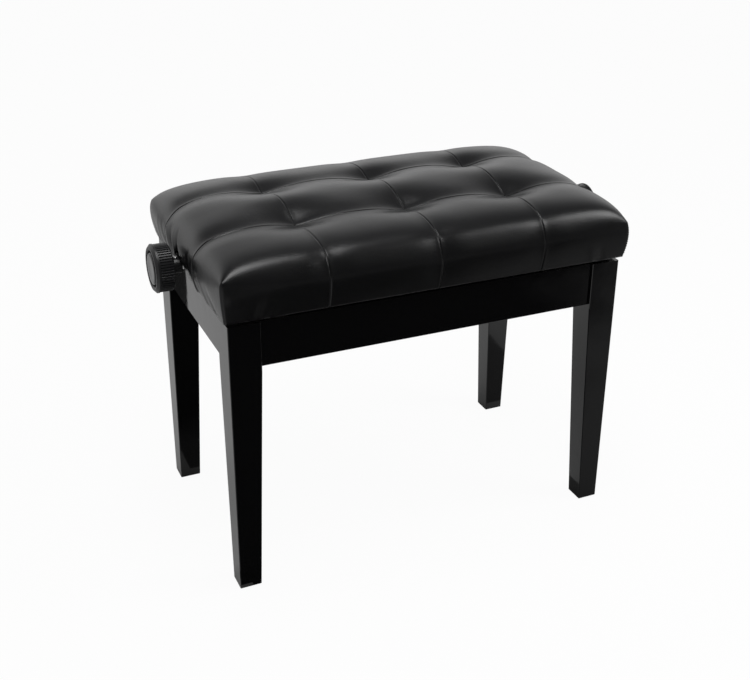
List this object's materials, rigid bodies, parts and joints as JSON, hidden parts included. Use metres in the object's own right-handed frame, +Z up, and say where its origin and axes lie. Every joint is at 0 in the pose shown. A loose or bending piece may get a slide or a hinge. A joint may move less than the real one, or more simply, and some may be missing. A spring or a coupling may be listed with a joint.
{
  "type": "piano bench",
  "caption": "Height-adjustable piano bench: tufted leatherette seat on a steel scissor lift, raised by knobs on a lead screw, over a lacquered frame on tapered legs.",
  "frame": {"origin": "on the floor, under the middle of the bench", "axes": "+X along the seat towards the right-hand knob, +Y towards the back, +Z up; the seat is at its lowest stop"},
  "size_m": [0.628, 0.34, 0.464],
  "materials": {
    "black_lacquer": "gloss",
    "pine": "satin",
    "beech": "satin",
    "plywood": "satin",
    "leatherette": "satin",
    "foam": "matte",
    "black_steel": "satin",
    "zinc_steel": "satin",
    "brass": "satin",
    "nylon": "satin",
    "knob_plastic": "satin",
    "cap_plastic": "gloss",
    "foot_plastic": "matte"
  },
  "bodies": {
    "base_frame": {"leg_front_left": "black_lacquer", "leg_front_right": "black_lacquer", "leg_rear_left": "black_lacquer", "leg_rear_right": "black_lacquer", "corner_block_front_left": "pine", "corner_block_front_right": "pine", "corner_block_rear_left": "pine", "corner_block_rear_right": "pine", "apron_front": "black_lacquer", "apron_rear": "black_lacquer", "apron_left": "black_lacquer", "apron_right": "black_lacquer", "bearer_left": "pine", "bearer_right": "pine", "lower_rail_front": "black_steel", "lower_rail_rear": "black_steel", "foot_pads": "foot_plastic", "dowels": "beech", "corner_bolts": "zinc_steel", "corner_nuts": "zinc_steel", "rail_screws": "zinc_steel", "lower_pivot_shaft": "zinc_steel"},
    "inner_arms": {"inner_arm_front": "black_steel", "inner_arm_rear": "black_steel", "hinge_tube": "black_steel", "centre_shaft": "zinc_steel"},
    "outer_arms": {"outer_arm_front": "black_steel", "outer_arm_rear": "black_steel", "slide_shaft": "zinc_steel", "slide_rollers": "nylon", "slide_clips": "zinc_steel"},
    "nut_carriage": {"nut_bar": "black_steel", "lead_nut": "brass", "nut_rollers": "nylon", "nut_clips": "zinc_steel"},
    "seat": {"seat_board": "plywood", "skirt_board_front": "plywood", "skirt_board_rear": "plywood", "skirt_board_left": "plywood", "skirt_board_right": "plywood", "upper_rail_front": "black_steel", "upper_rail_rear": "black_steel", "bearing_plate_left": "black_steel", "bearing_plate_right": "black_steel", "spindle_bushes": "brass", "upper_pivot_pins": "zinc_steel", "seat_screws": "zinc_steel", "skirt_screws": "zinc_steel", "firm_foam": "foam", "seat_cushion": "leatherette"},
    "spindle": {"lead_screw": "zinc_steel", "thrust_collars": "zinc_steel", "collar_screws": "zinc_steel", "knob_screws": "zinc_steel", "knob_left": "knob_plastic", "knob_right": "knob_plastic", "knob_cap_left": "cap_plastic", "knob_cap_right": "cap_plastic"}
  },
  "joints": [
    {"name": "lift", "type": "hinge", "parent": "base_frame", "child": "inner_arms", "pos_m": [-0.128, 0, 0.3445], "axis": [0, -1, 0], "range_deg": [0, 23.93]},
    {"name": "scissor_centre", "type": "hinge", "parent": "inner_arms", "child": "outer_arms", "pos_m": [0.00004, 0, 0.367], "axis": [0, -1, 0], "range_deg": [-47.86, 0]},
    {"name": "seat_hinge", "type": "hinge", "parent": "outer_arms", "child": "seat", "pos_m": [-0.128, 0, 0.3895], "axis": [0, -1, 0], "range_deg": [0, 23.93]},
    {"name": "nut_hinge", "type": "hinge", "parent": "inner_arms", "child": "nut_carriage", "pos_m": [0.12808, 0, 0.3895], "axis": [0, -1, 0], "range_deg": [-23.93, 0]},
    {"name": "knob_turn", "type": "hinge", "parent": "seat", "child": "spindle", "pos_m": [0, 0, 0.3895], "axis": [1, 0, 0], "range_deg": [0, 4831.65]}
  ],
  "couplings": [
    {"joint": "scissor_centre", "follows": "lift", "ratio": -2},
    {"joint": "seat_hinge", "follows": "lift", "ratio": 1},
    {"joint": "nut_hinge", "follows": "lift", "ratio": -1},
    {"joint": "knob_turn", "follows": "lift", "ratio": 201.91}
  ]
}
